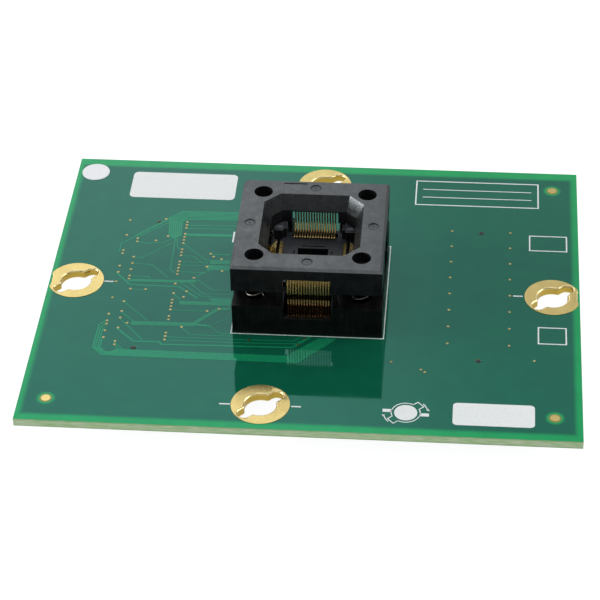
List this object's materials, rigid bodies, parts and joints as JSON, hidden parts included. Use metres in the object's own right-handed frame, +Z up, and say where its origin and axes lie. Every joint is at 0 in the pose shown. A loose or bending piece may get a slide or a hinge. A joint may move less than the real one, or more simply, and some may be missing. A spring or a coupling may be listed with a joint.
{
  "type": "ic programming adapter",
  "caption": "Plug-in circuit card with a press-to-open test socket on top, lock rings near its edges and board connectors underneath.",
  "frame": {"origin": "middle of the card, on the plane of the connectors' lower faces that the part rests on", "axes": "+X along the card's long side, +Y towards the card's back edge, +Z up through the socket"},
  "size_m": [0.1, 0.08, 0.0217],
  "materials": {
    "board": "glossy green solder mask on glass-epoxy laminate",
    "gold_plating": "satin gold plating",
    "sticker": "matte white",
    "socket_plastic": "moulded, matte black, glass filled",
    "seat_plastic": "moulded, matte dark grey",
    "cover_plastic": "moulded, matte black, glass filled",
    "contact_gold": "gold-plated spring alloy",
    "solder": "bright solder",
    "spring_steel": "bright drawn wire",
    "connector_plastic": "moulded, matte black"
  },
  "bodies": {
    "card": {"circuit_board": "board", "lock_ring_left": "gold_plating", "lock_ring_right": "gold_plating", "lock_ring_back": "gold_plating", "lock_ring_front": "gold_plating", "alignment_pads": "gold_plating", "inspection_sticker": "sticker", "socket_base": "socket_plastic", "device_seat": "seat_plastic", "contact_stems_right": "contact_gold", "contact_stems_back": "contact_gold", "contact_stems_left": "contact_gold", "contact_stems_front": "contact_gold", "solder_joints_right": "solder", "solder_joints_back": "solder", "solder_joints_left": "solder", "solder_joints_front": "solder", "spring_front_left": "spring_steel", "spring_front_right": "spring_steel", "spring_back_left": "spring_steel", "spring_back_right": "spring_steel", "connector_housing_left": "connector_plastic", "connector_housing_right": "connector_plastic", "connector_contacts_left_outer": "contact_gold", "connector_contacts_left_inner": "contact_gold", "connector_contacts_right_inner": "contact_gold", "connector_contacts_right_outer": "contact_gold"},
    "cover": {"socket_cover": "cover_plastic"},
    "contacts_right": {"contact_arms_right": "contact_gold"},
    "contacts_back": {"contact_arms_back": "contact_gold"},
    "contacts_left": {"contact_arms_left": "contact_gold"},
    "contacts_front": {"contact_arms_front": "contact_gold"}
  },
  "joints": [
    {"name": "cover_press", "type": "slide", "parent": "card", "child": "cover", "axis": [0, 0, -1], "range_m": [0, 0.003], "stiffness_N_per_m": 1000, "springref_m": -0.001, "deforming": ["spring_front_left", "spring_front_right", "spring_back_left", "spring_back_right"]},
    {"name": "contacts_right_open", "type": "hinge", "parent": "card", "child": "contacts_right", "pos_m": [0.0094, 0, 0.0115], "axis": [0, 1, 0], "range_deg": [0, 18.1]},
    {"name": "contacts_back_open", "type": "hinge", "parent": "card", "child": "contacts_back", "pos_m": [0, 0.0094, 0.0115], "axis": [-1, 0, 0], "range_deg": [0, 18.1]},
    {"name": "contacts_left_open", "type": "hinge", "parent": "card", "child": "contacts_left", "pos_m": [-0.0094, 0, 0.0115], "axis": [0, -1, 0], "range_deg": [0, 18.1]},
    {"name": "contacts_front_open", "type": "hinge", "parent": "card", "child": "contacts_front", "pos_m": [0, -0.0094, 0.0115], "axis": [1, 0, 0], "range_deg": [0, 18.1]}
  ],
  "couplings": [
    {"joint": "contacts_right_open", "follows": "cover_press", "rad_per_m": 104.72},
    {"joint": "contacts_back_open", "follows": "cover_press", "rad_per_m": 104.72},
    {"joint": "contacts_left_open", "follows": "cover_press", "rad_per_m": 104.72},
    {"joint": "contacts_front_open", "follows": "cover_press", "rad_per_m": 104.72}
  ]
}
